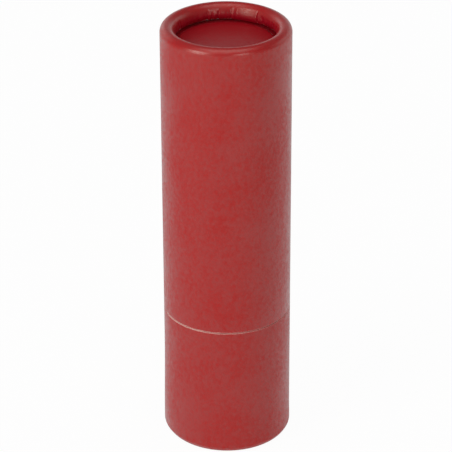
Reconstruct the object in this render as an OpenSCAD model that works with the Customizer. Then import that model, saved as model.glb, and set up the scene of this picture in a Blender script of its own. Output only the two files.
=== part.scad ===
// Twist-up lip balm stick in a rolled-edge paper tube.
// Three wound paper tubes (cap, base and neck) hold a plastic barrel, a screw spindle,
// an elevator cup and the balm. Millimetres, +Z up, origin at the centre of the foot.

/* [Outside] */
// Outer diameter of the cap and of the base
body_d = 20; // [18:0.1:24]
// Height of the base, from the foot to its trimmed upper edge
base_h = 22.1; // [20:0.1:28]
// Height of the cap, from its trimmed lower edge to the rim
cap_h = 48; // [45:0.1:56]
// Gap between the cap's lower edge and the base's upper edge
seam_gap = 0.1; // [0.05:0.05:0.4]

/* [Paper plies] */
// Thickness of the coloured outer paper
wrap_t = 0.2; // [0.15:0.01:0.26]
// Thickness of the wound board in the cap and the base
board_t = 0.64; // [0.5:0.01:0.72]
// Thickness of the smooth lining paper
liner_t = 0.1; // [0.08:0.01:0.14]
// Glue line between two layers
glue_gap = 0.03; // [0.02:0.01:0.05]
// Bevel that the trimming knife leaves on the outer paper
trim_bevel = 0.1; // [0.05:0.01:0.13]

/* [Rolled ends] */
// Inside radius of the fold at the cap's rim
cap_bend_r = 0.1; // [0.08:0.01:0.3]
// Inside radius of the fold at the base's foot
base_bend_r = 0.3; // [0.2:0.01:0.4]
// Depth of the recess from the rim to the end disc
recess_h = 2.64; // [2.2:0.01:3.2]
// Height that the foot's curl is pressed flat by
foot_flat = 0.04; // [0.02:0.01:0.08]
// Thickness of the coloured facing on each end disc
facing_t = 0.2; // [0.15:0.01:0.3]
// Thickness of each end disc's board
end_board_t = 0.8; // [0.6:0.05:1.2]
// Radial play of an end disc in its tube
disc_fit = 0.05; // [0.03:0.01:0.1]

/* [Neck] */
// Height of the neck's paper above the base's upper edge
neck_rise = 36.5; // [33:0.1:38]
// Radial clearance between the neck and the tubes round it
slide_fit = 0.15; // [0.1:0.01:0.2]
// Thickness of the neck's wound board
neck_board_t = 1.2; // [0.9:0.05:1.5]

/* [Barrel] */
// Wall of the barrel
barrel_wall = 0.8; // [0.7:0.05:1]
// Height of the barrel's mouth above the neck's paper
mouth_h = 2.6; // [2:0.1:3.4]
// Thickness of the shoulder that rests on the neck's paper
shoulder_t = 0.7; // [0.5:0.05:1]
// How far the shoulder stays inside the neck's outer face
shoulder_inset = 0.2; // [0.1:0.05:0.4]
// Number of guide ribs in the barrel
rib_count = 4; // [3:1:6]
// Width of a guide rib
rib_w = 0.8; // [0.6:0.05:1.2]
// Height of a guide rib above the bore
rib_h = 0.5; // [0.4:0.05:0.6]
// Distance from the end of the ribs to the mouth
rib_drop = 1; // [0.6:0.1:1.6]
// Running gap between parts that turn or slide on each other
run_fit = 0.1; // [0.08:0.01:0.14]
// Axial gap between the turning neck and the dial
turn_gap = 0.3; // [0.2:0.05:0.5]

/* [Spindle] */
// Thickness of the dial's flange
flange_t = 1.2; // [1:0.05:1.6]
// Number of crush ribs on the flange's rim
crush_count = 16; // [8:1:24]
// Radius of a crush rib
crush_r = 0.35; // [0.25:0.05:0.5]
// Height of the snap collar above the flange
collar_h = 4.1; // [3.6:0.1:5]
// Wall of the snap collar
collar_wall = 1; // [0.8:0.05:1.3]
// Radius of the snap bead's section
snap_r = 0.3; // [0.2:0.02:0.36]
// Distance from the snap bead to the collar's upper edge
snap_drop = 1.2; // [0.9:0.1:1.5]
// Radius of the boss under the screw
boss_r = 2.9; // [2.7:0.05:3.4]
// Height of the boss above the collar
boss_rise = 0.2; // [0.1:0.05:0.5]
// Thickness of the webs between boss and collar
web_t = 0.8; // [0.6:0.05:1.2]
// Outer diameter of the screw, over its thread
screw_d = 4.6; // [4:0.1:5.2]
// Radial play between the screw and the nut
screw_fit = 0.15; // [0.1:0.01:0.18]
// Height of the screw's tapered tip
tip_h = 1.5; // [1:0.1:2]

/* [Elevator] */
// Gap between the parked elevator and the spindle's boss
park_gap = 0.3; // [0.2:0.05:0.5]
// Height of the nut
nut_h = 6; // [5:0.1:7]
// Wall of the nut
nut_wall = 1; // [0.8:0.05:1.4]
// Thickness of the cup's floor
floor_t = 1; // [0.8:0.05:1.4]
// Height of the cup's wall above the floor
cup_h = 3; // [2.4:0.1:4]
// Wall of the cup
cup_wall = 0.9; // [0.85:0.05:1.1]
// Depth of the skirt below the floor
skirt_h = 2; // [1.5:0.1:3]
// Number of fins that grip the balm inside the cup
fin_count = 4; // [3:1:6]
// Thickness of a fin
fin_t = 0.6; // [0.5:0.05:0.8]
// How far a fin reaches in from the cup's wall
fin_w = 1.6; // [1:0.1:1.8]
// Distance from a fin's top to the cup's rim
fin_drop = 0.5; // [0.3:0.1:1]
// Distance from the raised cup's rim to the mouth
stop_drop = 2.7; // [2:0.1:4]
// Length of nut that is still on the screw when the cup is fully up
engage_h = 4.5; // [3.5:0.1:5]

/* [Balm] */
// Gap that the set balm leaves to the barrel
balm_fit = 0.15; // [0.1:0.01:0.25]
// Distance from the balm's rim to the barrel's mouth
balm_drop = 1; // [0.6:0.1:2]
// Radius of the balm's softened rim
balm_edge_r = 0.4; // [0.2:0.05:0.6]
// Depth of the dish that the poured balm sets with
balm_dish = 0.35; // [0.1:0.05:0.6]
// Distance from the dish to the balm's rim
dish_margin = 0.8; // [0.5:0.1:1.5]
// Gap over the screw's tip inside the balm
tip_gap = 0.8; // [0.5:0.1:1.5]

/* [Hidden] */
$fn = 72;

red_paper = [0.62, 0.20, 0.19];
grey_board = [0.74, 0.70, 0.63];
white_paper = [0.93, 0.91, 0.87];
white_plastic = [0.94, 0.94, 0.92];
cream_balm = [0.95, 0.89, 0.70];

// A size larger than the part, for cuts that pass right through it
beyond = 100;
// Depth by which a cut or a union runs past the face that it meets
bite = 0.2;

// Plies of a shell, as the distance of each face from the outer surface
wrap_ply = [0, wrap_t];
board_ply = [wrap_t + glue_gap, wrap_t + glue_gap + board_t];
liner_ply = [board_ply[1] + glue_gap, board_ply[1] + glue_gap + liner_t];
shell_t = liner_ply[1];

body_r = body_d / 2;
bore_r = body_r - shell_t;
cap_z = base_h + seam_gap;
total_h = cap_z + cap_h;

// End disc, measured from the rim that it is recessed in
facing_z = recess_h;
end_board_z = facing_z + facing_t + glue_gap;
disc_top_z = end_board_z + end_board_t;
disc_r = bore_r - disc_fit;

// Neck and barrel, from the base's bore inward
neck_r = bore_r - slide_fit;
neck_board_r = neck_r - wrap_t - glue_gap;
neck_bore_r = neck_board_r - neck_board_t;
barrel_r = neck_bore_r - glue_gap;
barrel_bore_r = barrel_r - barrel_wall;
neck_top = base_h + neck_rise;
mouth_z = neck_top + mouth_h;
rib_r = barrel_bore_r - rib_h;

// Spindle
flange_z = disc_top_z + glue_gap;
flange_top = flange_z + flange_t;
neck_z = flange_top + turn_gap;
crush_reach = bore_r - glue_gap;
collar_r = barrel_bore_r - run_fit;
collar_top = flange_top + collar_h;
snap_z = collar_top - snap_drop;
boss_top = collar_top + boss_rise;
screw_r = screw_d / 2;

// Elevator, parked at the bottom of its travel
nut_z = boss_top + park_gap;
nut_bore_r = screw_r + screw_fit;
floor_top = nut_z + nut_h;
cup_top = floor_top + cup_h;
cup_r = barrel_bore_r - run_fit;
cup_bore_r = cup_r - cup_wall;
travel = mouth_z - stop_drop - cup_top;
screw_top = nut_z + travel + engage_h;
tip_top = screw_top + tip_h;

// Balm
balm_r = barrel_bore_r - balm_fit;
balm_top = mouth_z - balm_drop;

// One ply of a shell whose lower end is rolled inward, as half of its section.
// The wall stands at outer radius r, folds round a curl and ends in a short inner leg.
module rolled_ply(r, ply, curl_r, length, leg) {
    depth = ply[0];
    thick = ply[1] - ply[0];
    curl_x = r - curl_r;
    translate([curl_x, curl_r]) {
        difference() {
            circle(r = curl_r - depth);
            circle(r = curl_r - depth - thick);
            translate([-beyond, 0]) square([2 * beyond, beyond]);
        }
        translate([curl_r - depth - thick, 0]) square([thick, length - curl_r]);
        translate([depth - curl_r, 0]) square([thick, leg - curl_r]);
    }
}

// Bevel on the outer corner of a trimmed edge at height z
module trim_cut(r, z, bevel) {
    polygon([[r - bevel, z], [r + bite, z - bevel - bite], [r + bite, z + bite], [r - bevel, z + bite]]);
}

// Cap shell ply, turned over so that its rolled end is the rim
module cap_ply(ply, bevel = 0) {
    translate([0, 0, total_h]) mirror([0, 0, 1]) rotate_extrude() difference() {
        rolled_ply(body_r, ply, shell_t + cap_bend_r, cap_h, recess_h);
        if (bevel > 0) trim_cut(body_r, cap_h, bevel);
    }
}

// Base shell ply, with the curl pressed flat where the stick stands on it
module base_ply(ply, bevel = 0) {
    rotate_extrude() difference() {
        translate([0, -foot_flat])
            rolled_ply(body_r, ply, shell_t + base_bend_r, base_h + foot_flat, recess_h + foot_flat);
        translate([0, -beyond]) square([beyond, beyond]);
        if (bevel > 0) trim_cut(body_r, base_h, bevel);
    }
}

module cap_wrap() {
    color(red_paper) cap_ply(wrap_ply, trim_bevel);
}

module cap_tube() {
    color(grey_board) cap_ply(board_ply);
}

module cap_liner() {
    color(white_paper) cap_ply(liner_ply);
}

module cap_end_facing() {
    color(red_paper) translate([0, 0, total_h - facing_z - facing_t]) cylinder(r = disc_r, h = facing_t);
}

module cap_end_board() {
    color(grey_board) translate([0, 0, total_h - disc_top_z]) cylinder(r = disc_r, h = end_board_t);
}

module base_wrap() {
    color(red_paper) base_ply(wrap_ply, trim_bevel);
}

module base_tube() {
    color(grey_board) base_ply(board_ply);
}

module base_liner() {
    color(white_paper) base_ply(liner_ply);
}

module base_end_facing() {
    color(red_paper) translate([0, 0, facing_z]) cylinder(r = disc_r, h = facing_t);
}

module base_end_board() {
    color(grey_board) translate([0, 0, end_board_z]) cylinder(r = disc_r, h = end_board_t);
}

// Plain tube between two radii and two heights
module tube(inner, outer, z0, z1) {
    translate([0, 0, z0]) rotate_extrude() translate([inner, 0]) square([outer - inner, z1 - z0]);
}

module neck_wrap() {
    color(white_paper) tube(neck_r - wrap_t, neck_r, neck_z, neck_top);
}

module neck_tube() {
    color(grey_board) tube(neck_bore_r, neck_board_r, neck_z, neck_top);
}

// Barrel section: wall, rounded mouth, shoulder on the neck and groove for the snap bead
module barrel_section() {
    shoulder_r = neck_r - shoulder_inset;
    lip_r = barrel_wall / 2;
    lead_in = barrel_wall / 3;
    difference() {
        union() {
            translate([barrel_bore_r, neck_z]) square([barrel_wall, mouth_z - lip_r - neck_z]);
            translate([barrel_bore_r + lip_r, mouth_z - lip_r]) circle(r = lip_r);
            translate([barrel_bore_r + lip_r, neck_top]) square([shoulder_r - barrel_bore_r - lip_r, shoulder_t]);
        }
        translate([collar_r, snap_z]) circle(r = snap_r + run_fit);
        polygon([[barrel_bore_r - bite, neck_z - bite], [barrel_bore_r + lead_in + bite, neck_z - bite],
                 [barrel_bore_r - bite, neck_z + lead_in + bite]]);
    }
}

// Guide ribs, or with play the slots that they run in
module rib_set(inner, play, z0, z1) {
    for (i = [0 : rib_count - 1]) rotate([0, 0, i * 360 / rib_count])
        translate([inner, -rib_w / 2 - play, z0])
            cube([barrel_bore_r + bite - inner, rib_w + 2 * play, z1 - z0]);
}

module barrel() {
    color(white_plastic) {
        rotate_extrude() barrel_section();
        rib_set(rib_r, 0, collar_top + run_fit, mouth_z - rib_drop);
    }
}

// Collar that snaps into the barrel, with its bead and a tapered lead-in
module collar_section() {
    lead_in = collar_wall / 3;
    translate([collar_r - collar_wall, flange_top]) difference() {
        square([collar_wall, collar_h]);
        polygon([[collar_wall - lead_in, collar_h + bite], [collar_wall - lead_in, collar_h],
                 [collar_wall + bite, collar_h - lead_in - bite], [collar_wall + bite, collar_h + bite]]);
    }
    intersection() {
        translate([collar_r, snap_z]) circle(r = snap_r);
        translate([collar_r - snap_r / 2, snap_z - beyond / 2]) square([beyond, beyond]);
    }
}

// Boss, screw and tapered tip, as half of their section
module screw_section() {
    polygon([[0, flange_top], [boss_r, flange_top], [boss_r, boss_top], [screw_r, boss_top],
             [screw_r, screw_top], [screw_r - tip_h / 2, tip_top], [0, tip_top]]);
}

module screw_spindle() {
    rib_place = crush_reach - crush_r;
    web_reach = collar_r - collar_wall / 2;
    color(white_plastic) {
        translate([0, 0, flange_z]) {
            cylinder(r = rib_place, h = flange_t);
            for (i = [0 : crush_count - 1]) rotate([0, 0, (i + 0.5) * 360 / crush_count])
                translate([rib_place, 0, 0]) cylinder(r = crush_r, h = flange_t);
        }
        rotate_extrude() collar_section();
        rotate_extrude() screw_section();
        for (i = [0 : 1]) rotate([0, 0, 45 + 90 * i]) translate([-web_reach, -web_t / 2, flange_top])
            cube([2 * web_reach, web_t, collar_h - snap_drop]);
    }
}

// Nut, floor and cup wall of the elevator, as half of their section
module elevator_section() {
    translate([nut_bore_r, nut_z]) square([nut_wall, nut_h]);
    translate([nut_bore_r, floor_top - floor_t]) square([cup_r - nut_bore_r, floor_t]);
    translate([cup_bore_r, floor_top - floor_t - skirt_h]) square([cup_wall, skirt_h + floor_t + cup_h]);
}

// Fins on the cup's wall, or with play the slots that they leave in the balm
module fin_set(play) {
    fin_in = cup_bore_r - fin_w - play;
    for (i = [0 : fin_count - 1]) rotate([0, 0, (i + 0.5) * 360 / fin_count])
        translate([fin_in, -fin_t / 2 - play, floor_top - bite])
            cube([cup_bore_r + bite - fin_in, fin_t + 2 * play, cup_h - fin_drop + bite + play]);
}

module elevator() {
    color(white_plastic) difference() {
        union() {
            rotate_extrude() elevator_section();
            fin_set(0);
        }
        rib_set(rib_r - run_fit, run_fit, floor_top - floor_t - skirt_h - bite, cup_top + bite);
    }
}

// Balm section: a plug that fills the cup, the stick above it and the dish on top
module balm_section() {
    dish_r = balm_r - dish_margin;
    dish_ball_r = (dish_r * dish_r + balm_dish * balm_dish) / (2 * balm_dish);
    plug_z = floor_top + glue_gap;
    difference() {
        union() {
            translate([0, plug_z]) square([cup_bore_r - glue_gap, cup_top - plug_z + 2 * glue_gap]);
            translate([0, cup_top + glue_gap]) square([balm_r, balm_top - balm_edge_r - cup_top - glue_gap]);
            translate([0, balm_top - balm_edge_r]) square([balm_r - balm_edge_r, balm_edge_r]);
            intersection() {
                translate([balm_r - balm_edge_r, balm_top - balm_edge_r]) circle(r = balm_edge_r);
                translate([balm_r - balm_edge_r, balm_top - balm_edge_r]) square([balm_edge_r, balm_edge_r]);
            }
        }
        translate([0, balm_top + dish_ball_r - balm_dish]) circle(r = dish_ball_r);
        square([nut_bore_r, tip_top + tip_gap]);
    }
}

module balm() {
    color(cream_balm) difference() {
        rotate_extrude() balm_section();
        rib_set(rib_r - run_fit, run_fit, cup_top, mouth_z);
        fin_set(glue_gap);
    }
}

cap_wrap();
cap_tube();
cap_liner();
cap_end_facing();
cap_end_board();
base_wrap();
base_tube();
base_liner();
base_end_facing();
base_end_board();
neck_wrap();
neck_tube();
barrel();
screw_spindle();
elevator();
balm();
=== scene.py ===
# %% [markdown]
# # A twist-up lip balm stick in a rolled paper tube
#
# The real object is made of wound paper. A cap and a base, each covered in red paper,
# push together over a white paper neck. The neck holds a plastic barrel, and in it a cup
# carries the balm up a screw. The CAD model gives every piece its place and its size.
# This lesson makes the same pieces as they look: rolled rims with their small folds,
# cut edges, paper grain and wax. Every length is in millimetres until it meets Blender.

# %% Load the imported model
import math
import random

import bmesh
import bpy
from mathutils import Matrix, Vector


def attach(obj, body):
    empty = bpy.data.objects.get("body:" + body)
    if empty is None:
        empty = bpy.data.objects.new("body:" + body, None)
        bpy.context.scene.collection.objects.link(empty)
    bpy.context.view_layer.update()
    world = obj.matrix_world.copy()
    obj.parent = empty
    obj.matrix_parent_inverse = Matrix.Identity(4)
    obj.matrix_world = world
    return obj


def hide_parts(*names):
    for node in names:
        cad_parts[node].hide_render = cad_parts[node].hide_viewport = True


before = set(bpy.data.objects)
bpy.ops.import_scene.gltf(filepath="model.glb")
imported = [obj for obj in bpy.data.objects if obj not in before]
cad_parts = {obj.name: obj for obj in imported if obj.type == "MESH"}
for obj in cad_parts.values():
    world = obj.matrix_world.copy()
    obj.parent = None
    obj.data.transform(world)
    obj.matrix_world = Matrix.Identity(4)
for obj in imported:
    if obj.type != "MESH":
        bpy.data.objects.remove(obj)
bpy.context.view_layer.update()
scene = bpy.context.scene
MM = 0.001
print("nodes:", ", ".join(sorted(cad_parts)))

# %% [markdown]
# ## The camera
#
# A product photograph of a slim tube is taken from some way off with a long lens, so the
# tube's sides stay nearly straight. The camera could be aimed by eye, but the place and
# the lens here come from the ellipses of the rim, the joint and the foot, which only one
# viewpoint fits. Yaw and roll are the photographer's small errors.

# %% Camera
CAMERA_BACK = 344.8
CAMERA_HEIGHT = 215.8
CAMERA_PITCH = 27.553
CAMERA_YAW = -0.019
CAMERA_ROLL = -0.237
SENSOR = 36.0
LENS = 197.05

camera = bpy.data.objects.new("camera", bpy.data.cameras.new("camera"))
scene.collection.objects.link(camera)
scene.camera = camera
camera.data.lens = LENS
camera.data.sensor_width = SENSOR
camera.data.clip_start = 0.01
camera.matrix_world = (
    Matrix.Translation((0, -CAMERA_BACK * MM, CAMERA_HEIGHT * MM))
    @ Matrix.Rotation(math.radians(-CAMERA_YAW), 4, "Z")
    @ Matrix.Rotation(math.radians(90 - CAMERA_PITCH), 4, "X")
    @ Matrix.Rotation(math.radians(CAMERA_ROLL), 4, "Z")
)
print("camera", round(camera.location.length / MM), "mm from the foot, lens", LENS, "mm")

# %% [markdown]
# ## Writing finishes as sums
#
# A finish is a tree of nodes. Wiring each node by hand hides the idea, so a socket is
# wrapped in a small class that knows plus, minus and times. Then 1 - mask * 0.5 adds the
# two Math nodes by itself. All other nodes come from one method, which takes the node's
# kind, its settings and what goes into its sockets.


# %% Node tree helpers
class Term:
    """One output socket, which can be added, subtracted, multiplied and raised."""

    def __init__(self, tree, socket):
        self.tree = tree
        self.socket = socket

    def sum(self, operation, first, second):
        return self.tree.node("Math", {"operation": operation}, {0: first, 1: second})

    def __add__(self, other):
        return self.sum("ADD", self, other)

    def __radd__(self, other):
        return self.sum("ADD", other, self)

    def __sub__(self, other):
        return self.sum("SUBTRACT", self, other)

    def __rsub__(self, other):
        return self.sum("SUBTRACT", other, self)

    def __mul__(self, other):
        return self.sum("MULTIPLY", self, other)

    def __rmul__(self, other):
        return self.sum("MULTIPLY", other, self)

    def __pow__(self, other):
        return self.sum("POWER", self, other)


class Tree:
    """A node tree. Each call adds one node and gives back one of its outputs."""

    def __init__(self, tree):
        self.nodes = tree.nodes
        self.links = tree.links
        self.nodes.clear()

    def node(self, kind, settings=None, inputs=None, output=0):
        made = self.nodes.new("ShaderNode" + kind)
        for key, value in (settings or {}).items():
            setattr(made, key, value)
        for key, value in (inputs or {}).items():
            if isinstance(value, Term):
                self.links.new(value.socket, made.inputs[key])
            else:
                made.inputs[key].default_value = value
        return Term(self, made.outputs[output]) if made.outputs else None


# %% [markdown]
# ## Light, floor and background
#
# The stick stood on a white sweep between soft boxes: a strong one on the left, a weaker
# one on the right, a broad one overhead and two faint ones behind. Light could be poured
# on until the paper under it clips to white, but that would wash out the red. Instead the
# floor and the world answer the camera with plain white, and light the stick at an
# ordinary level. What the paper mirrors is set by itself: a glow overhead, a lit backdrop
# behind and the pale floor. The floor keeps a trace of the shadow at the foot.

# %% World
AMBIENT_FRONT = 0.25
AMBIENT_BACK = 0.5
AMBIENT_TURN = (-0.3, 0.6)
AMBIENT_CEILING = 0.2
SKY_DIM = 0.07
HORIZON = 0.58
HORIZON_RISE = (0.1, 0.6)
HORIZON_TURN = (0.2, 0.8)
HORIZON_FRONT = 0.25
CEILING = 0.82
CEILING_EDGE = (0.74, 0.94)
CEILING_TILT = math.radians(20)
WHITE = (1.0, 1.0, 1.0, 1.0)


def ray(tree, kind):
    return tree.node("LightPath", output="Is " + kind + " Ray")


def ease(tree, value, low, high, start=0.0, end=1.0):
    """value eased from start at low to end at high."""
    return tree.node("MapRange", {"interpolation_type": "SMOOTHSTEP"}, {
        "Value": value, "From Min": low, "From Max": high, "To Min": start, "To Max": end})


def part_of(tree, point, axis):
    """One coordinate of a point."""
    return tree.node("SeparateXYZ", inputs={0: point}, output=axis)


scene.world = bpy.data.worlds.new("white_room")
scene.world.use_nodes = True
room = Tree(scene.world.node_tree)
seen = ray(room, "Camera")
mirrored = ray(room, "Glossy") + ray(room, "Transmission")
direction = room.node("TexCoord", output="Generated")
up = part_of(room, direction, "Z")
back = part_of(room, direction, "Y")
overhead = up * math.cos(CEILING_TILT) - back * math.sin(CEILING_TILT)
ceiling = ease(room, overhead, *CEILING_EDGE)
low_down = ease(room, up, *HORIZON_RISE, 1.0, 0.0)
backdrop = low_down * ease(room, back, *HORIZON_TURN, HORIZON_FRONT, 1.0)
sky = SKY_DIM + backdrop * HORIZON + ceiling * CEILING
ambient = ease(room, back, *AMBIENT_TURN, AMBIENT_FRONT, AMBIENT_BACK)
ambient = ambient + ceiling * AMBIENT_CEILING
strength = seen + mirrored * sky + (1 - seen - mirrored) * ambient
room.node("OutputWorld", inputs={"Surface": room.node(
    "Background", inputs={"Color": WHITE, "Strength": strength})})
scene.view_settings.view_transform = "Standard"

# %% Floor
FLOOR_SIDE = 6000
FLOOR_PAPER = (0.92, 0.92, 0.92, 1.0)
FLOOR_LIFT = 0.96
FLOOR_MIRRORED = 0.7
FLOOR_SHEEN = 0.72
FLOOR_BOUNCE = 0.33

shape = bmesh.new()
bmesh.ops.create_grid(shape, x_segments=1, y_segments=1, size=FLOOR_SIDE / 2 * MM)
mesh = bpy.data.meshes.new("floor")
shape.to_mesh(mesh)
shape.free()
floor = bpy.data.objects.new("floor", mesh)
scene.collection.objects.link(floor)
sweep = bpy.data.materials.new("white_sweep")
sweep.use_nodes = True
tree = Tree(sweep.node_tree)
lift = ray(tree, "Camera") * FLOOR_LIFT + ray(tree, "Diffuse") * FLOOR_BOUNCE + (
    ray(tree, "Glossy") + ray(tree, "Transmission")) * FLOOR_MIRRORED
matt = tree.node("BsdfDiffuse", inputs={"Color": FLOOR_PAPER})
shine = 1 - ray(tree, "Glossy") * (1 - FLOOR_SHEEN)
plain = tree.node("Emission", inputs={"Color": WHITE, "Strength": shine})
tree.node("OutputMaterial", inputs={"Surface": tree.node(
    "MixShader", inputs={0: lift, 1: matt, 2: plain})})
mesh.materials.append(sweep)

# %% Soft boxes
AIM = Vector((0, 0, 38 * MM))
LAMP_AWAY = 700


def soft_box(name, azimuth, height, width, tall, light):
    """A rectangular lamp that faces the stick. Azimuth 0 is the camera's side.

    light is the share of full white that it gives a matt white card facing it.
    """
    data = bpy.data.lights.new(name, "AREA")
    data.shape = "RECTANGLE"
    data.size = width * MM
    data.size_y = tall * MM
    data.energy = light * (math.pi * LAMP_AWAY * MM) ** 2
    lamp = bpy.data.objects.new(name, data)
    scene.collection.objects.link(lamp)
    turn = math.radians(azimuth)
    rise = math.radians(height)
    flat = math.cos(rise)
    way = Vector((math.sin(turn) * flat, -math.cos(turn) * flat, math.sin(rise)))
    lamp.location = AIM + way * LAMP_AWAY * MM
    lamp.rotation_euler = way.to_track_quat("Z", "Y").to_euler()


soft_box("key", -50, 22, 330, 480, 0.42)
soft_box("fill", 26, 17, 230, 280, 0.13)
soft_box("top", 0, 84, 560, 560, 0.14)
soft_box("rim", 115, 20, 500, 300, 0.04)
soft_box("back", -140, 24, 500, 300, 0.04)

# %% [markdown]
# ## Drawing a section and turning it
#
# A tube, a disc or a rolled rim is round, so its shape is the line round its half
# section. It could be typed in as a list of points and faces. Here a pen draws it: one
# vertex is extruded for a straight line and spun for an arc, as the end of the paper
# travels through the rolling tool. A full spin about the tube's axis then makes the
# piece, and points on the axis are merged.


# %% Section and turning
DOUBLINGS = 4
MERGE = 0.0005


class Section:
    """A pen that draws half of a round piece's section, in the XZ plane."""

    def __init__(self, x, z):
        self.shape = bmesh.new()
        self.travel = self.shape.verts.layers.float.new("travel")
        self.first = self.shape.verts.new((x * MM, 0, z * MM))
        self.last = self.first

    def line(self, x, z, steps=1):
        start = self.last.co.copy()
        end = Vector((x * MM, 0, z * MM))
        for step in range(1, steps + 1):
            made = bmesh.ops.extrude_vert_indiv(self.shape, verts=[self.last])
            self.last = made["verts"][0]
            self.last.co = start.lerp(end, step / steps)
        return self

    def arc(self, x, z, degrees, steps):
        made = bmesh.ops.spin(
            self.shape, geom=[self.last], cent=(x * MM, 0, z * MM), axis=(0, 1, 0),
            dvec=(0, 0, 0), angle=math.radians(degrees), steps=steps)
        self.last = [v for v in made["geom_last"] if isinstance(v, bmesh.types.BMVert)][0]
        return self

    def close(self):
        self.shape.edges.new((self.last, self.first))
        return self

    def turned(self, steps):
        """The section spun right round the Z axis, as a closed shell.

        One sixteenth is spun. Turned copies of it, doubled four times, make the round.
        """
        copies = 2**DOUBLINGS
        part = 2 * math.pi / copies
        bmesh.ops.spin(
            self.shape, geom=self.shape.verts[:] + self.shape.edges[:], cent=(0, 0, 0),
            axis=(0, 0, 1), dvec=(0, 0, 0), angle=part, steps=steps // copies)
        for doubling in range(DOUBLINGS):
            everything = self.shape.verts[:] + self.shape.edges[:] + self.shape.faces[:]
            copy = bmesh.ops.duplicate(self.shape, geom=everything)["geom"]
            bmesh.ops.rotate(
                self.shape, cent=(0, 0, 0),
                matrix=Matrix.Rotation(part * 2**doubling, 3, "Z"),
                verts=[v for v in copy if isinstance(v, bmesh.types.BMVert)])
        bmesh.ops.remove_doubles(self.shape, verts=self.shape.verts, dist=MERGE * MM)
        bmesh.ops.recalc_face_normals(self.shape, faces=self.shape.faces)
        return self.shape


def smooth(value, low, high):
    """0 below low, 1 above high and an even curve between."""
    t = min(1.0, max(0.0, (value - low) / (high - low)))
    return t * t * (3 - 2 * t)


# %% Pieces
SHARP_FROM = math.radians(40)


def polar(vertex):
    """A vertex's distance from the tube's axis in millimetres, and its angle."""
    return math.hypot(vertex.co.x, vertex.co.y) / MM, math.atan2(vertex.co.y, vertex.co.x)


def widen(vertex, radius, grown):
    """Moves a vertex, which is at this radius, outward by grown millimetres."""
    scale = (radius + grown) / radius
    vertex.co.x *= scale
    vertex.co.y *= scale


def piece(name, shape, finish, body, nodes):
    """An object from a shape, riding on a body, in place of the CAD's nodes."""
    mesh = bpy.data.meshes.new(name)
    shape.to_mesh(mesh)
    shape.free()
    mesh.shade_smooth()
    mesh.set_sharp_from_angle(angle=SHARP_FROM)
    mesh.materials.append(finish)
    made = bpy.data.objects.new(name, mesh)
    scene.collection.objects.link(made)
    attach(made, body)
    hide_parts(*nodes)
    far = [max(abs(v.co[axis]) for v in mesh.vertices) / MM for axis in (0, 2)]
    print(f"{name}: {len(mesh.polygons)} faces, radius {far[0]:.2f}, top {far[1]:.2f} mm")


# %% [markdown]
# ## Red cover paper
#
# The cover is a dyed, lightly calendered paper. Close to, it isn't one red: fibres and
# press marks make flecks of a fuller red among a greyer one, about half a millimetre
# across, and broad clouds run through them. A picture of paper would do it, but noise in
# the piece's own coordinates has no seams and stays sharp in a close view. Where the
# knife cut the edge, at the joint, the pale core of the paper shows as wear. That pale
# edge is painted brighter on the left than on the right, as painted light from the lamp on
# the left.
# The rolling tool leaves the rim's crest a little shinier. Further into the roll the red
# is painted a darker crimson, as painted shade in the hollow.

# %% Paper finish helpers
FULL_RED = (0.435, 0.0005, 0.005, 1.0)
GREY_RED = (0.38, 0.009, 0.012, 1.0)
# Painted shade: a darker crimson red for the far part of the roll and the recessed disc.
PAINTED_SHADE_RED = (0.33, 0.0005, 0.012, 1.0)
PAPER_SHEEN = (1.0, 0.97, 0.76, 1.0)
PALE_CORE = (0.74, 0.42, 0.37, 1.0)


def place(tree):
    """Where the shaded point is on the piece, in millimetres."""
    point = tree.node("TexCoord", output="Object")
    return tree.node("VectorMath", {"operation": "SCALE"}, {0: point, "Scale": 1 / MM})


def noise(tree, point, size, stretch=1.0, detail=2.0, roughness=0.5, shift=0.0):
    """Noise whose features are size millimetres across and stretch times as tall."""
    around = tree.node("Mapping", inputs={
        "Vector": point, "Location": (shift, shift, shift), "Scale": (1, 1, 1 / stretch)})
    return tree.node("TexNoise", inputs={
        "Vector": around, "Scale": 1 / size, "Detail": detail, "Roughness": roughness})


def blend_colour(tree, mask, first, second):
    """first where the mask is 0 and second where it is 1."""
    return tree.node("Mix", {"data_type": "RGBA"}, {0: mask, 6: first, 7: second}, 2)


def relief(tree, depth, height):
    """A bump that rises by depth millimetres as height goes from 0 to 1."""
    return tree.node("Bump", inputs={
        "Strength": 1.0, "Distance": depth * MM, "Height": height})


def off_level(tree, height, level):
    """How far a height is from a level, above or below it."""
    return tree.node("Math", {"operation": "ABSOLUTE"}, {0: height - level})


def surface(name, paint):
    """A material whose tree paint(tree) fills in. paint gives the shader's inputs."""
    made = bpy.data.materials.new(name)
    made.use_nodes = True
    tree = Tree(made.node_tree)
    shader = tree.node("BsdfPrincipled", inputs=paint(tree))
    tree.node("OutputMaterial", inputs={"Surface": shader})
    print("finish", name, "with", len(tree.nodes), "nodes")
    return made


# %% Red paper
# Each noise is its size in mm, stretch along the tube, detail, roughness and shift.
FLECK = (0.54, 1.15, 3.0, 0.6)
FIBRE = (0.24, 1.8, 2.0, 0.6, 7.0)
CLOUD = (7.0, 1.3, 2.0, 0.5, 3.0)
GRAIN = (0.16, 2.0, 3.0, 0.65, 11.0)
FLECK_SHARE = 0.52
FIBRE_SHARE = 0.1
CLOUD_SHARE = 0.38
TONE_RANGE = (0.29, 0.73)
ROLLED_IN = (0.9, 2.3)
RAGGED_BY_FIBRE = 0.16
RAGGED_BY_FLECK = 0.12
RUBBED = (0.05, 0.19)
# Painted light: the pale cut edge is painted brighter on the left side, where the lamp is,
# and fainter to the right.
PAINTED_LIGHT_SIDES = (-9.0, 8.0)
PAINTED_LIGHT_LEFT_EDGE = (-9.9, -9.1)
WORN_FLECKS = (0.30, 0.55)
GRAIN_DEPTH = 0.006
IRONED = (0.35, 0.9)
IRONED_COAT = 0.25
SEALED_COAT = 0.7
ROUGHNESS = (0.34, 0.42)


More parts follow.
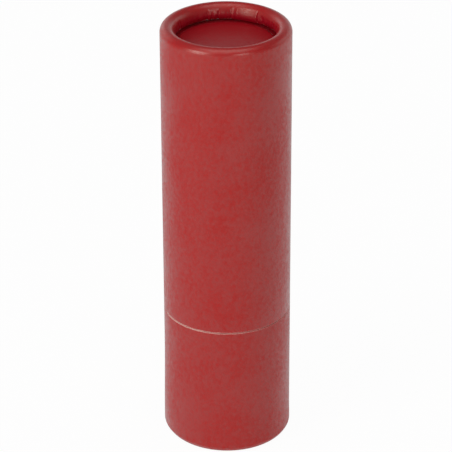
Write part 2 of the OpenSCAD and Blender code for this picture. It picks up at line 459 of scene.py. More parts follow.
def red_cover(name, edge_z, rim_z, deep=0.0):
    """Red paper whose cut edge at height edge_z wears pale, painted paler on the left as
    painted light.

    rim_z is the height of the rolled rim, whose crest the rolling tool irons a little
    shinier. deep is how much painted shade, a darker red, it has where it isn't rolled in.
    """

    def paint(tree):
        point = place(tree)
        fleck = noise(tree, point, *FLECK)
        fibre = noise(tree, point, *FIBRE)
        cloud = noise(tree, point, *CLOUD)
        mottle = fleck * FLECK_SHARE + fibre * FIBRE_SHARE + cloud * CLOUD_SHARE
        tone = ease(tree, mottle, *TONE_RANGE)
        colour = blend_colour(tree, tone, GREY_RED, FULL_RED)
        rolled = tree.node("Attribute", {"attribute_name": "travel"}, output="Fac")
        rolled_in_and_shade = ease(tree, rolled, *ROLLED_IN, deep, 1.0)
        # Painted shade: further into the roll, and on the disc facing, the red is blended
        # towards a darker crimson.
        colour = blend_colour(tree, rolled_in_and_shade, colour, PAINTED_SHADE_RED)
        height = part_of(tree, point, "Z")
        side = part_of(tree, point, "X")
        ragged = off_level(tree, height, edge_z)
        ragged = ragged + (fibre - 0.5) * RAGGED_BY_FIBRE + (fleck - 0.5) * RAGGED_BY_FLECK
        rubbed = ease(tree, ragged, *RUBBED, 1.0, 0.0)
        # Painted light: the pale edge is weighted by side, strongest just in from the left
        # and fading to the right.
        painted_light_side = ease(tree, side, *PAINTED_LIGHT_SIDES, 1.0, 0.3)
        painted_light_side = painted_light_side * ease(tree, side, *PAINTED_LIGHT_LEFT_EDGE, 0.2, 1.0)
        wear_and_painted_light = rubbed * painted_light_side * ease(tree, fleck, *WORN_FLECKS, 0.55, 1.0)
        colour = blend_colour(tree, wear_and_painted_light, colour, PALE_CORE)
        grain = noise(tree, point, *GRAIN)
        from_rim = off_level(tree, height, rim_z)
        ironed = ease(tree, from_rim, *IRONED, IRONED_COAT, 0.0)
        sealed = ease(tree, tone, 0.0, 1.0, SEALED_COAT, 0.0)
        coat = (sealed + (1 - sealed) * ironed) * (1 - rolled_in_and_shade)
        return {"Base Color": colour,
                "Roughness": ease(tree, fleck, 0.3, 0.7, *ROUGHNESS) - rolled_in_and_shade * 0.04,
                "Normal": relief(tree, GRAIN_DEPTH, grain + fleck * 0.8),
                "Specular IOR Level": 0.5, "Specular Tint": PAPER_SHEEN,
                "Coat Roughness": 0.24, "Coat Weight": coat}

    return surface(name, paint)


# %% [markdown]
# ## The rolled ends
#
# This is the detail that takes the most skill. The paper tube is pushed against a
# grooved, heated tool, which folds its edge inward, tightly over the lip and then down a
# nearly straight face like a funnel's. Three layers go round together: cover, board and
# lining, and the thin cover tucks back under the face. The circle they have to fit into
# is a fifth smaller than the one they left, so the cover gathers into dozens of small
# uneven folds inside the rim. The folds could be a bump in the material, but they have a
# real depth that catches the light, so the vertices are moved.

# %% Sizes of the tubes
BODY_R = 10.05
BASE_TOP = 22.14
CAP_BOTTOM = 22.19
TOTAL = 70.2
COVER = (0.0, 0.2)
BOARD = (0.23, 0.87)
LINING = (0.9, 1.0)
CAP_CURL = 1.1
BASE_CURL = 1.3
FOOT_FLAT = 0.04
RECESS = 2.64
LEG_LIFT = 0.2
LIP_TURN = 60
FACE_R = 3.2
FACE_TURN = 18
TUCK_R = 0.8
TUCK_TURN = 37
FACE_TAIL = 0.15
EDGE_ROUND = 0.11
INNER_EDGE = 0.03
ROUND = 720


def rolled_section(ply, curl, length, leg, rows, fine, edge_round):
    """One layer of a tube, standing on its rolled end.

    The roll is tight over the lip and opens into a nearly straight face. Only the thin
    cover then tucks back under it. Its vertices keep how far past the lip's crest the
    paper has travelled, in mm, and all others keep 0.
    """
    half = (ply[1] - ply[0]) / 2
    centre = BODY_R - curl
    tucked = ply == COVER
    lip = math.radians(LIP_TURN)
    end = lip + math.radians(FACE_TURN)
    face_x = centre + (FACE_R - curl) * math.sin(lip)
    face_z = curl + (FACE_R - curl) * math.cos(lip)
    tuck_x = face_x - (FACE_R - TUCK_R) * math.sin(end)
    tuck_z = face_z - (FACE_R - TUCK_R) * math.cos(end)
    corner = BODY_R - ply[0] - edge_round
    pen = Section(corner, length)
    pen.arc(corner, length - edge_round, 90, 4)
    pen.line(BODY_R - ply[0], curl, rows)
    pen.arc(centre, curl, 90, fine // 2)
    crest = len(pen.shape.verts)
    pen.arc(centre, curl, LIP_TURN, fine // 2)
    pen.arc(face_x, face_z, FACE_TURN, fine // 2)
    if tucked:
        pen.arc(tuck_x, tuck_z, TUCK_TURN, fine // 3)
        slope = end + math.radians(TUCK_TURN)
        left = leg - half - pen.last.co.z / MM
        pen.line(pen.last.co.x / MM - left / math.tan(slope), leg - half, 4)
    else:
        slope = end
        pen.line(pen.last.co.x / MM - FACE_TAIL * math.cos(slope),
                 pen.last.co.z / MM + FACE_TAIL)
    outside = pen.shape.verts[crest:]
    out = Vector((math.sin(slope), 0, math.cos(slope)))
    middle = pen.last.co / MM + out * half
    pen.arc(middle.x, middle.z, -180, 4)
    if tucked:
        pen.line(tuck_x - (TUCK_R - ply[1]) * math.sin(slope),
                 tuck_z - (TUCK_R - ply[1]) * math.cos(slope))
        pen.arc(tuck_x, tuck_z, -TUCK_TURN, 6)
    else:
        pen.line(face_x - (FACE_R - ply[1]) * math.sin(slope),
                 face_z - (FACE_R - ply[1]) * math.cos(slope))
    pen.arc(face_x, face_z, -FACE_TURN, 6)
    pen.arc(centre, curl, -LIP_TURN - 90, 10)
    pen.line(BODY_R - ply[1], length, 1)
    gone = 0.0
    for before, vertex in zip(outside, outside[1:]):
        gone += (vertex.co - before.co).length / MM
        vertex[pen.travel] = gone
    return pen.close()


# %% Folds inside the rim
FOLD_GAP = math.radians(3.6)
THIN_SHARE = 0.3
THIN_WIDTH = (0.08, 0.12)
WIDE_WIDTH = (0.18, 0.34)
FOLD_DEPTH = (0.06, 0.14)
FOLD_LEAN = (-0.12, 0.12)
FOLD_START = (0.9, 1.7)


def fold_list(seed, seen, count, clear):
    """Folds as (angle, half width, depth, lean, start). seen are listed.

    start is how far past the crest a fold begins. All lengths are in millimetres. No
    other fold falls on the stretch from clear[0] to clear[1] degrees.
    """
    dice = random.Random(seed)
    folds = [(math.radians(90 - degrees), *rest) for degrees, *rest in seen]
    taken = [fold[0] for fold in folds]
    while len(folds) < count:
        angle = dice.uniform(-math.pi, math.pi)
        gap = min(abs(math.remainder(angle - other, 2 * math.pi)) for other in taken)
        smooth_there = clear[0] < 90 - math.degrees(angle) < clear[1]
        if gap > FOLD_GAP and not smooth_there:
            taken.append(angle)
            thin = dice.random() < THIN_SHARE
            width = dice.uniform(*(THIN_WIDTH if thin else WIDE_WIDTH))
            folds.append((angle, width, dice.uniform(*FOLD_DEPTH),
                          dice.uniform(*FOLD_LEAN), dice.uniform(*FOLD_START)))
    return folds


# %% Pressing the folds in
ROLLED_FROM = 0.6
FOLD_REACH = 4
NEAR_SIDE = 0.7
FAR_SIDE = 1.3
FOLD_POWER = 1.7
FOLD_RISE = 0.8
DEEPEST = 0.13
BULGE_FROM = (1.6, 2.8)
BULGE_IN = 0.3


def gather(shape, folds, bulges):
    """Presses the folds into the cover's rolled face, deeper the further it has gone.

    bulges are (degrees, half width in degrees, mm): where the roll hangs lower.
    """
    travel = shape.verts.layers.float["travel"]
    shape.normal_update()
    rolled = [v for v in shape.verts if v[travel] > ROLLED_FROM]
    moves = []
    for vertex in rolled:
        gone = vertex[travel]
        radius, angle = polar(vertex)
        depth = 0.0
        for middle, width, deep, lean, start in folds:
            along = math.remainder(angle - middle, 2 * math.pi) * radius - lean * gone
            if gone > start and abs(along) < FOLD_REACH * width:
                side = width * (NEAR_SIDE if along < 0 else FAR_SIDE)
                hollow = math.exp(-abs(along / side) ** FOLD_POWER)
                depth += deep * hollow * smooth(gone, start, start + FOLD_RISE)
        swell = 0.0
        for at, wide, far in bulges:
            off = math.remainder(math.degrees(angle) - 90 + at, 360) / wide
            swell += far * math.exp(-off ** 2)
        swell *= smooth(gone, *BULGE_FROM)
        inward = Vector((-BULGE_IN * math.cos(angle), -BULGE_IN * math.sin(angle), 1.0))
        push = inward * swell
        moves.append((vertex, (push - vertex.normal * min(DEEPEST, depth)) * MM))
    for vertex, move in moves:
        vertex.co += move


# %% Overlap of the cover, the foot's flare and its knocked side
SKIN = 0.05
OVERLAP_AT = math.radians(104)
OVERLAP_STEP = 0.05
OVERLAP_EDGE = 0.018
OVERLAP_FADE = math.radians(70)
FLARE = 0.05
FLARE_HEIGHT = (0.8, 5.0)
KNOCK = 0.17
KNOCK_NARROW = 8
KNOCK_FROM = (0.3, 1.7)
KNOCK_FADE = (2.0, 16.0)
KNOCK_DEPTH = (1.5, 0.2)


def lap_and_flare(shape, flare):
    """The cover's edge laps over itself at the back, and its foot is spread a little."""
    for vertex in shape.verts:
        radius, angle = polar(vertex)
        if radius < BODY_R - SKIN:
            continue
        past = (angle - OVERLAP_AT) % (2 * math.pi)
        step = smooth(past, 0.0, OVERLAP_EDGE) * (1 - smooth(past, 0.0, OVERLAP_FADE))
        spread = flare * (1 - smooth(vertex.co.z / MM, *FLARE_HEIGHT))
        widen(vertex, radius, OVERLAP_STEP * step + spread)


def knock_wide(shape):
    """The foot has been knocked a little wider towards its left side."""
    for vertex in shape.verts:
        radius = polar(vertex)[0]
        high = vertex.co.z / MM
        left = (0.5 - 0.5 * vertex.co.x / MM / radius) ** KNOCK_NARROW
        grown = KNOCK * left * smooth(high, *KNOCK_FROM) * (1 - smooth(high, *KNOCK_FADE))
        grown *= smooth(radius, BODY_R - KNOCK_DEPTH[0], BODY_R - KNOCK_DEPTH[1])
        widen(vertex, radius, grown)


def press_flat(shape):
    """The foot's curl is pressed flat where the stick stands on it."""
    bmesh.ops.translate(shape, verts=shape.verts, vec=(0, 0, -FOOT_FLAT * MM))
    for vertex in shape.verts:
        vertex.co.z = max(0.0, vertex.co.z)


def turn_over(shape):
    """The cap is a tube that stands on its head, with its rolled end up."""
    bmesh.ops.scale(shape, verts=shape.verts, vec=(1, 1, -1))
    bmesh.ops.translate(shape, verts=shape.verts, vec=(0, 0, TOTAL * MM))
    bmesh.ops.recalc_face_normals(shape, faces=shape.faces)


# %% Cover papers
# Each fold is its degrees, half width, depth, lean and start, as fold_list says.
SEEN_FOLDS = [
    (-58, 0.36, 0.04, 0.0, 1.3), (-51, 0.34, 0.05, 0.05, 1.3),
    (-44.5, 0.32, 0.06, 0.05, 1.2), (-38.5, 0.30, 0.06, 0.1, 1.3),
    (-32, 0.30, 0.05, 0.06, 1.4), (-25, 0.26, 0.05, -0.05, 1.3),
    (-19, 0.20, 0.11, 0.12, 1.0), (-14, 0.14, 0.08, 0.1, 1.3),
    (-7, 0.18, 0.12, 0.08, 1.1), (-1, 0.22, 0.05, 0.0, 1.3),
    (3.5, 0.14, 0.07, 0.05, 1.3), (8, 0.17, 0.13, 0.1, 0.8),
    (13.5, 0.16, 0.04, 0.1, 1.0), (38, 0.09, 0.13, 0.0, 0.8),
    (48, 0.11, 0.11, 0.05, 1.6), (56, 0.30, 0.04, 0.0, 1.4),
]
CAP_SEED = 4
CAP_FOLDS = 48
SMOOTH_STRETCH = (14, 37)
BASE_SEED = 9
BASE_FOLDS = 46
NO_STRETCH = (0, 0)
COVER_ROWS = 8
COVER_FINE = 36
CAP_BULGES = [(29, 22, 0.15), (-75, 40, 0.1), (160, 35, 0.12)]
BASE_BULGES = [(-20, 30, 0.12), (110, 40, 0.1)]
CAP_LENGTH = TOTAL - CAP_BOTTOM
BASE_LENGTH = BASE_TOP + FOOT_FLAT
cap_paper = red_cover("red_cap_paper", CAP_BOTTOM, TOTAL)
base_paper = red_cover("red_base_paper", BASE_TOP, 0.0)

shape = rolled_section(
    COVER, CAP_CURL, CAP_LENGTH, RECESS - LEG_LIFT,
    COVER_ROWS, COVER_FINE, EDGE_ROUND).turned(ROUND)
gather(shape, fold_list(CAP_SEED, SEEN_FOLDS, CAP_FOLDS, SMOOTH_STRETCH), CAP_BULGES)
lap_and_flare(shape, 0.0)
turn_over(shape)
piece("cap_cover", shape, cap_paper, "cap", ["cap_wrap"])

leg = RECESS + FOOT_FLAT - LEG_LIFT
shape = rolled_section(
    COVER, BASE_CURL, BASE_LENGTH, leg, COVER_ROWS, COVER_FINE, EDGE_ROUND).turned(ROUND)
gather(shape, fold_list(BASE_SEED, SEEN_FOLDS[:1], BASE_FOLDS, NO_STRETCH), BASE_BULGES)
lap_and_flare(shape, FLARE)
knock_wide(shape)
press_flat(shape)
piece("base_cover", shape, base_paper, "base", ["base_wrap"])

# %% [markdown]
# ## The end discs
#
# Each rolled edge is pressed onto a board disc faced with the same paper, whose red is
# painted darker as painted shade at the bottom of the recess. The facing looks flat, but
# the press leaves it a little dished at its border, and a thin dark line runs round where
# the rolled paper comes down on it. The disc is turned like the rest: its section steps
# down just before the rim covers it.

# %% End discs
DISC_R = 8.95
FACING_T = 0.2
DISC_T = 0.8
GLUE = 0.03
BORDER_IN = 7.2
BORDER_OUT = 7.65
BORDER_DROP = 0.16
BORDER_STEPS = 6
# Painted shade on the disc facing: half of the darker red, which also halves its coat.
DISC_ROLLED_IN_AND_SHADE = 0.5


def facing(top):
    """A thin disc whose upper face is dished at its border. top is its height."""
    pen = Section(0, top)
    pen.line(BORDER_IN, top, 6)
    for step in range(1, BORDER_STEPS + 1):
        share = step / BORDER_STEPS
        drop = BORDER_DROP * smooth(share, 0, 1)
        pen.line(BORDER_IN + (BORDER_OUT - BORDER_IN) * share, top - drop)
    pen.line(DISC_R, top - BORDER_DROP, 2)
    pen.line(DISC_R, top - FACING_T)
    pen.line(0, top - FACING_T, 4)
    return pen.turned(ROUND // 2)


# Painted shade: the disc facing takes half of the darker crimson red, as shade in the
# recess.
disc_paper_with_shade = red_cover("red_disc_paper_with_shade", CAP_BOTTOM, TOTAL, DISC_ROLLED_IN_AND_SHADE)
shape = facing(TOTAL - RECESS)
piece("cap_facing", shape, disc_paper_with_shade, "cap", ["cap_end_facing"])
shape = facing(0)
bmesh.ops.scale(shape, verts=shape.verts, vec=(1, 1, -1))
bmesh.ops.translate(shape, verts=shape.verts, vec=(0, 0, RECESS * MM))
bmesh.ops.recalc_face_normals(shape, faces=shape.faces)
piece("base_facing", shape, disc_paper_with_shade, "base", ["base_end_facing"])

# %% [markdown]
# ## Grey board and lining
#
# Under the cover is wound board, made of grey recycled paper. On a cut edge its turns
# show as fine rings, which are really one spiral. The lining is a thin, smooth, bright
# paper, laid in at a slant, so its joint runs up the inside as a helix. Both could be
# drawn as geometry, but they are a tenth of a millimetre deep at most, so the radius and
# the angle of each point give the pattern.

# %% Board and lining finishes
BOARD_GREY = (0.50, 0.44, 0.36, 1.0)
BOARD_DARK = (0.33, 0.28, 0.22, 1.0)
BOARD_PALE = (0.62, 0.57, 0.48, 1.0)
PLY_PITCH = 0.21
PAPER_WHITE = (0.83, 0.80, 0.74, 1.0)
PAPER_SHADE = (0.74, 0.70, 0.63, 1.0)
LINING_PITCH = 34.0
PULP = (0.7, 1.0, 4.0, 0.7)
SPECK = (0.22, 1.0, 1.0, 0.5, 5.0)
PLY_LINE = 0.22
PLY_DARK = 0.6
PULP_DEPTH = 0.02
PAPER_CLOUD = (2.4, 2.0, 3.0, 0.6)
PAPER_FIBRE = (0.3, 4.0, 2.0, 0.6, 9.0)
JOINT_LINE = 0.004
LAP_WIDTH = 0.035
LAP_DEPTH = 0.03


def round_place(tree, point):
    """The radius, and the turn about Z from 0 to 1."""
    x = part_of(tree, point, "X")
    y = part_of(tree, point, "Y")
    turn = tree.node("Math", {"operation": "ARCTAN2"}, {0: y, 1: x})
    return (x * x + y * y) ** 0.5, turn * (0.5 / math.pi) + 0.5


def fraction(tree, value):
    return tree.node("Math", {"operation": "FRACT"}, {0: value})


def grey_board(tree):
    point = place(tree)
    radius, turn = round_place(tree, point)
    turns = fraction(tree, radius * (1 / PLY_PITCH) + turn)
    joint = ease(tree, turns, 0.0, PLY_LINE, 1.0, 0.0)
    pulp = noise(tree, point, *PULP)
    speck = noise(tree, point, *SPECK)
    colour = blend_colour(tree, ease(tree, pulp, 0.3, 0.7), BOARD_GREY, BOARD_PALE)
    dark = joint * PLY_DARK + ease(tree, speck, 0.64, 0.74) * 0.5
    colour = blend_colour(tree, dark, colour, BOARD_DARK)
    return {"Base Color": colour, "Roughness": 0.85,
            "Normal": relief(tree, PULP_DEPTH, pulp - joint * PLY_DARK)}


def white_paper(tree, pitch, roughness):
    """Pale paper with a slanting joint that climbs pitch millimetres a turn."""
    point = place(tree)
    turn = round_place(tree, point)[1]
    climb = fraction(tree, turn + part_of(tree, point, "Z") * (1 / pitch))
    joint = ease(tree, climb, 0.0, JOINT_LINE, 1.0, 0.0)
    lap = ease(tree, climb, 0.0, LAP_WIDTH, 1.0, 0.0)
    cloud = noise(tree, point, *PAPER_CLOUD)
    fibre = noise(tree, point, *PAPER_FIBRE)
    shade = ease(tree, cloud * 0.5 + fibre * 0.5, 0.38, 0.64, 0.0, 0.6) + joint * 0.7
    colour = blend_colour(tree, shade, PAPER_WHITE, PAPER_SHADE)
    return {"Base Color": colour, "Roughness": roughness,
            "Normal": relief(tree, LAP_DEPTH, lap + fibre * 0.25)}


board = surface("grey_board", grey_board)
lining = surface("lining_paper", lambda tree: white_paper(tree, LINING_PITCH, 0.45))

# %% Boards and linings of the cap and the base
INNER_ROWS = 1
INNER_FINE = 20

for name, ply, paper, slot, nodes in (
    ("board", BOARD, board, "grey_board", "tube"),
    ("lining", LINING, lining, "white_paper", "liner"),
):
    shape = rolled_section(
        ply, CAP_CURL, CAP_LENGTH, RECESS, INNER_ROWS, INNER_FINE,
        INNER_EDGE).turned(ROUND // 2)
    turn_over(shape)
    piece("cap_" + name, shape, paper, "cap", ["cap_" + nodes])
    shape = rolled_section(
        ply, BASE_CURL, BASE_LENGTH, RECESS, INNER_ROWS, INNER_FINE,
        INNER_EDGE).turned(ROUND // 2)
    press_flat(shape)
    piece("base_" + name, shape, paper, "base", ["base_" + nodes])


# %% Boards of the end discs
def round_bar(inner, outer, low, high, edge):
    """A ring or, with inner at 0, a disc, with softened outer edges."""
    pen = Section(inner, low)
    pen.line(outer - edge, low, 3)
    pen.arc(outer - edge, low + edge, -90, 4)
    pen.line(outer, high - edge)
    pen.arc(outer - edge, high - edge, -90, 4)
    pen.line(inner, high, 3)
    return (pen.close() if inner > 0 else pen).turned(ROUND // 2)


DISC_EDGE = 0.08
lower = RECESS + FACING_T + GLUE
shape = round_bar(0, DISC_R, TOTAL - lower - DISC_T, TOTAL - lower, DISC_EDGE)
piece("cap_disc", shape, board, "cap", ["cap_end_board"])
shape = round_bar(0, DISC_R, lower, lower + DISC_T, DISC_EDGE)
piece("base_disc", shape, board, "base", ["base_end_board"])

# %% [markdown]
# ## The neck
#
# The cap slides over a second wound tube, glued round the plastic barrel and covered in
# white paper. Its cover is wrapped straight, so its joint is an upright lap, which is
# modelled as a small step in the radius. The knife rounds its upper edge a little.

# %% Neck
NECK_R = 8.85
NECK_BOARD = (7.42, 8.62)
NECK_BOTTOM = 5.2
NECK_TOP = 58.6
NECK_LAP_AT = math.radians(-28)
NECK_LAP = 0.06
NECK_LAP_EDGE = 0.02
NECK_LAP_FADE = 1.4
NECK_PAPER_T = 0.2
NECK_PITCH = 4000.0
neck_finish = surface("neck_paper", lambda tree: white_paper(tree, NECK_PITCH, 0.6))

shape = round_bar(NECK_R - NECK_PAPER_T, NECK_R, NECK_BOTTOM, NECK_TOP, 0.07)
for vertex in shape.verts:
    radius, angle = polar(vertex)
    if radius > NECK_R - NECK_PAPER_T / 2:
        past = (angle - NECK_LAP_AT) % (2 * math.pi)
        step = smooth(past, 0.0, NECK_LAP_EDGE) * (1 - smooth(past, 0.0, NECK_LAP_FADE))
        widen(vertex, radius, NECK_LAP * step)
piece("neck_cover", shape, neck_finish, "neck", ["neck_wrap"])
shape = round_bar(NECK_BOARD[0], NECK_BOARD[1], NECK_BOTTOM, NECK_TOP, 0.05)
piece("neck_board", shape, board, "neck", ["neck_tube"])

# %% [markdown]
# ## Cutting and joining shapes
#
# Ribs, slots and webs don't go round the axis, so they can't be part of a turned
# section. Each is a box with softened edges. Boxes could simply be left sunk in the
# turned body, but then faces would be hidden inside it. A Boolean modifier joins them to
# one clean skin, or cuts them away, and its result becomes the shape.


# %% Boolean and box helpers
def worked(shape, tool, operation):
    """The shape joined with a tool shape (UNION), or with it cut away (DIFFERENCE)."""
    helpers = []
    for part in (shape, tool):
        mesh = bpy.data.meshes.new("work")
        part.to_mesh(mesh)
        part.free()
        helper = bpy.data.objects.new("work", mesh)
        scene.collection.objects.link(helper)
        helpers.append(helper)
    work = helpers[0].modifiers.new("work", "BOOLEAN")
    work.operation = operation
    work.solver = "EXACT"
    work.object = helpers[1]
    result = bmesh.new()
    result.from_object(helpers[0], bpy.context.evaluated_depsgraph_get())
    for helper in helpers:
        mesh = helper.data
        bpy.data.objects.remove(helper)
        bpy.data.meshes.remove(mesh)
    return result


BITE = 0.2


def boxes(count, first_degrees, near, far, width, low, high, soft=0.0):
    """count boxes round the axis, from near to far, each width across."""
    shape = bmesh.new()
    for number in range(count):
        made = bmesh.ops.create_cube(shape, size=1)["verts"]
        bmesh.ops.scale(shape, verts=made, vec=(
            (far - near) * MM, width * MM, (high - low) * MM))
        bmesh.ops.translate(shape, verts=made, vec=(
            (far + near) / 2 * MM, 0, (high + low) / 2 * MM))
        turn = Matrix.Rotation(math.radians(first_degrees + 360 / count * number), 3, "Z")
        bmesh.ops.rotate(shape, cent=(0, 0, 0), matrix=turn, verts=made)
    if soft:
        bmesh.ops.bevel(
            shape, geom=shape.edges[:], offset=soft * MM, affect="EDGES", segments=2,
            profile=0.5, material=-1, offset_type="OFFSET", clamp_overlap=True)
    return shape


# %% [markdown]
# ## The barrel
#
# The barrel is moulded in white plastic. Its mouth is rounded for the lips, a shoulder
# rests on the upper edge of the neck's board, and four ribs inside keep the cup from
# turning, so that the screw lifts it. It is turned first and its ribs are joined on.

# %% Plastic and barrel
MOULDED_WHITE = (0.85, 0.85, 0.82, 1.0)
MOULDED_SHADE = (0.79, 0.79, 0.75, 1.0)
BORE_R = 6.59
BARREL_WALL = 0.8
BARREL_R = BORE_R + BARREL_WALL
MOUTH_Z = 61.2
SHOULDER_R = 8.65
SHOULDER_T = 0.7
SHOULDER_ROUND = 0.25
FILLET = 0.15
LEAD_IN = 0.27
GROOVE_DEEP = 0.28
GROOVE = (8.1, 7.95, 7.65, 7.5)
RIB_COUNT = 4
RIB_R = 6.09
RIB_W = 0.8
RIB_LOW = 9.1
RIB_HIGH = 60.2
RIB_SOFT = 0.12
FIT = 0.1


def moulded(tree):
    point = place(tree)
    cloud = noise(tree, point, 3.0, 2.0, 2.0, 0.5)
    fine = noise(tree, point, 0.12, 1.0, 2.0, 0.6, 4.0)
    colour = blend_colour(tree, ease(tree, cloud, 0.35, 0.7), MOULDED_WHITE, MOULDED_SHADE)
    return {"Base Color": colour, "Roughness": ease(tree, cloud, 0.3, 0.7, 0.3, 0.4),
            "Normal": relief(tree, 0.003, fine + cloud * 2)}


plastic = surface("moulded_plastic", moulded)
lip = BARREL_WALL / 2
shoulder_top = NECK_TOP + SHOULDER_T
pen = Section(BORE_R + LEAD_IN, NECK_BOTTOM)
pen.line(BARREL_R, NECK_BOTTOM).line(BARREL_R, NECK_TOP, 4)
pen.line(SHOULDER_R - 0.1, NECK_TOP, 2).arc(SHOULDER_R - 0.1, NECK_TOP + 0.1, -90, 4)
pen.line(SHOULDER_R, shoulder_top - SHOULDER_ROUND)
pen.arc(SHOULDER_R - SHOULDER_ROUND, shoulder_top - SHOULDER_ROUND, -90, 6)
pen.line(BARREL_R + FILLET, shoulder_top, 2)
pen.arc(BARREL_R + FILLET, shoulder_top + FILLET, 90, 4)
pen.line(BARREL_R, MOUTH_Z - lip, 2).arc(BARREL_R - lip, MOUTH_Z - lip, -180, 12)
pen.line(BORE_R, GROOVE[0], 6)
pen.line(BORE_R + GROOVE_DEEP, GROOVE[1]).line(BORE_R + GROOVE_DEEP, GROOVE[2])
pen.line(BORE_R, GROOVE[3]).line(BORE_R, NECK_BOTTOM + LEAD_IN)
shape = pen.close().turned(ROUND // 2)
ribs = boxes(RIB_COUNT, 0, RIB_R, BORE_R + BITE, RIB_W, RIB_LOW, RIB_HIGH, RIB_SOFT)
shape = worked(shape, ribs, "UNION")
piece("barrel_moulding", shape, plastic, "neck", ["barrel"])

# %% [markdown]
# ## The screw
#
# A screw can be made by sweeping the profile of one ridge along a helix, which leaves
# ends to close. There is a neater way. Cut anywhere across, a screw with two starts has
# the same outline, a disc with two humps, only turned. So the outline is drawn once and
# spun upward, with a rise at each step. The thread is left-handed, because these sticks
# are turned clockwise, seen from below, to bring the balm out.

# %% Threaded rod
LEAD = 5.0
STARTS = 2
ROOT_R = 1.6
CREST_R = 2.3
CREST_SHARE = 0.28
ROOT_SHARE = 0.52
RING = 64
STEPS_A_TURN = 40


def thread_outline(turn, root, crest):
    """The radius of the screw's outline, a share of a turn round from the first hump."""
    across = (turn * STARTS) % 1.0
    off = abs(across - 0.5) * 2
    return root + (crest - root) * smooth(off, ROOT_SHARE, 1 - CREST_SHARE)


def threaded_rod(root, crest, low, high):
    """A rod with its thread, from low to high. Its turn depends on its height alone."""
    shape = bmesh.new()
    first = -2 * math.pi * low / LEAD
    for number in range(RING):
        turn = number / RING
        radius = thread_outline(turn, root, crest) * MM
        angle = first + turn * 2 * math.pi
        shape.verts.new((radius * math.cos(angle), radius * math.sin(angle), low * MM))
    shape.verts.ensure_lookup_table()
    for number in range(RING):
        shape.edges.new((shape.verts[number], shape.verts[(number + 1) % RING]))
    steps = round((high - low) / LEAD * STEPS_A_TURN)
    rim = shape.edges[:]
    made = bmesh.ops.spin(
        shape, geom=shape.verts[:] + rim, cent=(0, 0, 0), axis=(0, 0, 1),
        dvec=(0, 0, (high - low) / steps * MM),
        angle=-2 * math.pi * (high - low) / LEAD, steps=steps)
    last = [e for e in made["geom_last"] if isinstance(e, bmesh.types.BMEdge)]
    bmesh.ops.contextual_create(shape, geom=rim)
    bmesh.ops.contextual_create(shape, geom=last)
    bmesh.ops.recalc_face_normals(shape, faces=shape.faces)
    return shape


# %% Spindle: dial flange, snap collar, boss and screw
FLANGE_Z = 3.7
FLANGE_TOP = 4.9
FLANGE_R = 8.62
FLANGE_ROUND = 0.2
COLLAR_R = 6.49
COLLAR_IN = 5.49
COLLAR_TOP = 9.0
COLLAR_BEVEL = 0.35
SNAP_Z = 7.8
SNAP_R = 0.3
WEB_T = 0.8
WEB_TOP = 7.8
BOSS_R = 2.9
BOSS_TOP = 9.2
SCREW_TOP = 54.0
TIP_TOP = 55.5
CRUSH_R = 0.35
CRUSH_COUNT = 16

pen = Section(0, FLANGE_Z)
inner = FLANGE_R - FLANGE_ROUND
pen.line(inner, FLANGE_Z, 4).arc(inner, FLANGE_Z + FLANGE_ROUND, -90, 4)
pen.line(FLANGE_R, FLANGE_TOP - FLANGE_ROUND)
pen.arc(inner, FLANGE_TOP - FLANGE_ROUND, -90, 4)
pen.line(COLLAR_R, FLANGE_TOP, 2).line(COLLAR_R, SNAP_Z - SNAP_R, 2)
pen.arc(COLLAR_R, SNAP_Z, -180, 8).line(COLLAR_R, COLLAR_TOP - COLLAR_BEVEL)
pen.line(COLLAR_R - COLLAR_BEVEL, COLLAR_TOP).line(COLLAR_IN, COLLAR_TOP)
pen.line(COLLAR_IN, FLANGE_TOP, 2)
pen.line(BOSS_R, FLANGE_TOP, 2).line(BOSS_R, BOSS_TOP, 2).line(0, BOSS_TOP, 2)
shape = pen.turned(192)
reach = COLLAR_R - 0.5
webs = boxes(2, 45, -reach, reach, WEB_T, FLANGE_TOP - BITE, WEB_TOP)
shape = worked(shape, webs, "UNION")
crush = bmesh.new()
for number in range(CRUSH_COUNT):
    turn = 2 * math.pi * (number + 0.5) / CRUSH_COUNT
    bmesh.ops.create_cone(
        crush, cap_ends=True, segments=20, radius1=CRUSH_R * MM, radius2=CRUSH_R * MM,
        depth=(FLANGE_TOP - FLANGE_Z - 0.1) * MM, matrix=Matrix.Translation((
            FLANGE_R * math.cos(turn) * MM, FLANGE_R * math.sin(turn) * MM,
            (FLANGE_TOP + FLANGE_Z) / 2 * MM)))
shape = worked(shape, crush, "UNION")
rod = threaded_rod(ROOT_R, CREST_R, BOSS_TOP - 1.0, SCREW_TOP)
shape = worked(shape, rod, "UNION")
tip = Section(0, SCREW_TOP - 0.6)
tip.line(ROOT_R, SCREW_TOP - 0.6).line(ROOT_R, SCREW_TOP)
tip.line(ROOT_R - 0.6, TIP_TOP - 0.2, 3).line(ROOT_R - 0.85, TIP_TOP).line(0, TIP_TOP)
shape = worked(shape, tip.turned(64), "UNION")
piece("spindle", shape, plastic, "base", ["screw_spindle"])

# %% [markdown]
# ## The cup and its nut
#
# The cup that carries the balm has a nut below it. A real nut is made by a threaded core
# in the mould. Here the same screw, a little larger all round, is cut out of the nut, so
# the two threads mesh with even play. Slots let the barrel's ribs through, and four fins
# inside hold the set balm.

# %% Elevator
NUT_Z = 9.5
NUT_R = 3.45
CUP_R = 6.49
CUP_IN = 5.59
SKIRT_Z = 12.5
FLOOR_LOW = 14.5
FLOOR_HIGH = 15.5
CUP_TOP = 18.5
CUP_ROUND = 0.15
FIN_COUNT = 4
FIN_T = 0.6
FIN_W = 1.6
FIN_DROP = 0.5
PLAY = 0.15

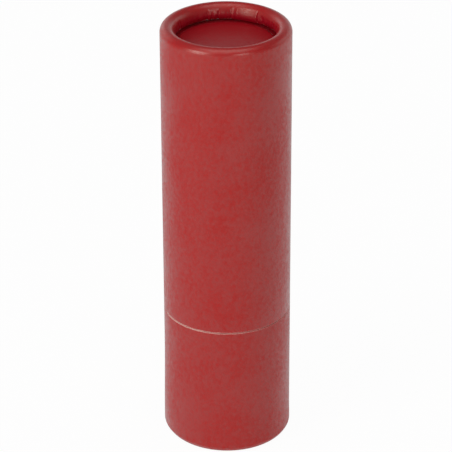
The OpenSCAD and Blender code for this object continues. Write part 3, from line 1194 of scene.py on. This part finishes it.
pen = Section(ROOT_R + PLAY, NUT_Z).line(NUT_R, NUT_Z).line(NUT_R, FLOOR_LOW, 2)
pen.line(CUP_IN, FLOOR_LOW).line(CUP_IN, SKIRT_Z).line(CUP_R, SKIRT_Z)
pen.line(CUP_R, CUP_TOP - CUP_ROUND, 3)
pen.arc(CUP_R - CUP_ROUND, CUP_TOP - CUP_ROUND, -90, 3)
pen.line(CUP_IN, CUP_TOP).line(CUP_IN, FLOOR_HIGH).line(ROOT_R + PLAY, FLOOR_HIGH)
shape = pen.close().turned(192)
fins = boxes(FIN_COUNT, 45, CUP_IN - FIN_W, CUP_IN + BITE, FIN_T,
             FLOOR_HIGH - BITE, CUP_TOP - FIN_DROP)
shape = worked(shape, fins, "UNION")
slots = boxes(RIB_COUNT, 0, RIB_R - FIT, CUP_R + 1, RIB_W + 2 * FIT,
              SKIRT_Z - 1, CUP_TOP + 1)
shape = worked(shape, slots, "DIFFERENCE")
core = threaded_rod(ROOT_R + PLAY, CREST_R + PLAY, NUT_Z - 1, FLOOR_HIGH + 1)
shape = worked(shape, core, "DIFFERENCE")
piece("cup_and_nut", shape, plastic, "elevator", ["elevator"])

# %% [markdown]
# ## The balm
#
# The balm is poured warm into the barrel and sets there, so it has the barrel's round
# form and grooves where the ribs stand. As wax cools it shrinks in the middle, which
# leaves a shallow dish with a soft rim. Light goes a little way into wax and comes out
# again nearby, so the finish has some light under its surface and a mild gloss.

# %% Balm
BALM_LIGHT = (0.87, 0.775, 0.53, 1.0)
BALM_DEEP = (0.82, 0.70, 0.43, 1.0)
BALM_R = 6.44
BALM_TOP = 60.2
BALM_EDGE = 0.4
DISH = 0.35
DISH_MARGIN = 0.8
DISH_STEPS = 14
DISH_POWER = 1.4
PLUG_R = 5.56
PLUG_Z = 15.53
PLUG_TOP = 18.53
HOLLOW_R = 2.45
HOLLOW_TOP = 56.3


def wax(tree):
    point = place(tree)
    cloud = noise(tree, point, 2.6, 0.8, 3.0, 0.55)
    bloom = noise(tree, point, 0.35, 1.0, 3.0, 0.65, 8.0)
    tone = ease(tree, cloud * 0.7 + bloom * 0.3, 0.36, 0.62)
    return {"Base Color": blend_colour(tree, tone, BALM_DEEP, BALM_LIGHT),
            "Roughness": ease(tree, bloom, 0.3, 0.7, 0.3, 0.46),
            "Normal": relief(tree, 0.03, cloud + bloom * 0.15),
            "Subsurface Weight": 0.25, "Subsurface Scale": 0.0015}


balm_finish = surface("set_balm", wax)
pen = Section(0, HOLLOW_TOP).line(HOLLOW_R, HOLLOW_TOP).line(HOLLOW_R, PLUG_Z, 4)
pen.line(PLUG_R, PLUG_Z).line(PLUG_R, PLUG_TOP).line(BALM_R, PLUG_TOP)
pen.line(BALM_R, BALM_TOP - BALM_EDGE, 8)
pen.arc(BALM_R - BALM_EDGE, BALM_TOP - BALM_EDGE, -90, 8)
dish_r = BALM_R - DISH_MARGIN
for step in range(1, DISH_STEPS + 1):
    radius = dish_r * (1 - step / DISH_STEPS)
    pen.line(radius, BALM_TOP - DISH * (1 - (radius / dish_r) ** 2) ** DISH_POWER)
shape = pen.turned(ROUND // 2)
grooves = boxes(RIB_COUNT, 0, RIB_R - FIT, BALM_R + 1, RIB_W + 2 * FIT,
                PLUG_TOP - 0.5, MOUTH_Z)
shape = worked(shape, grooves, "DIFFERENCE")
pockets = boxes(FIN_COUNT, 45, CUP_IN - FIN_W - 2 * GLUE, CUP_IN + 1, FIN_T + 2 * GLUE,
                PLUG_Z - 1, CUP_TOP - FIN_DROP + 2 * GLUE)
shape = worked(shape, pockets, "DIFFERENCE")
piece("balm_stick", shape, balm_finish, "elevator", ["balm"])
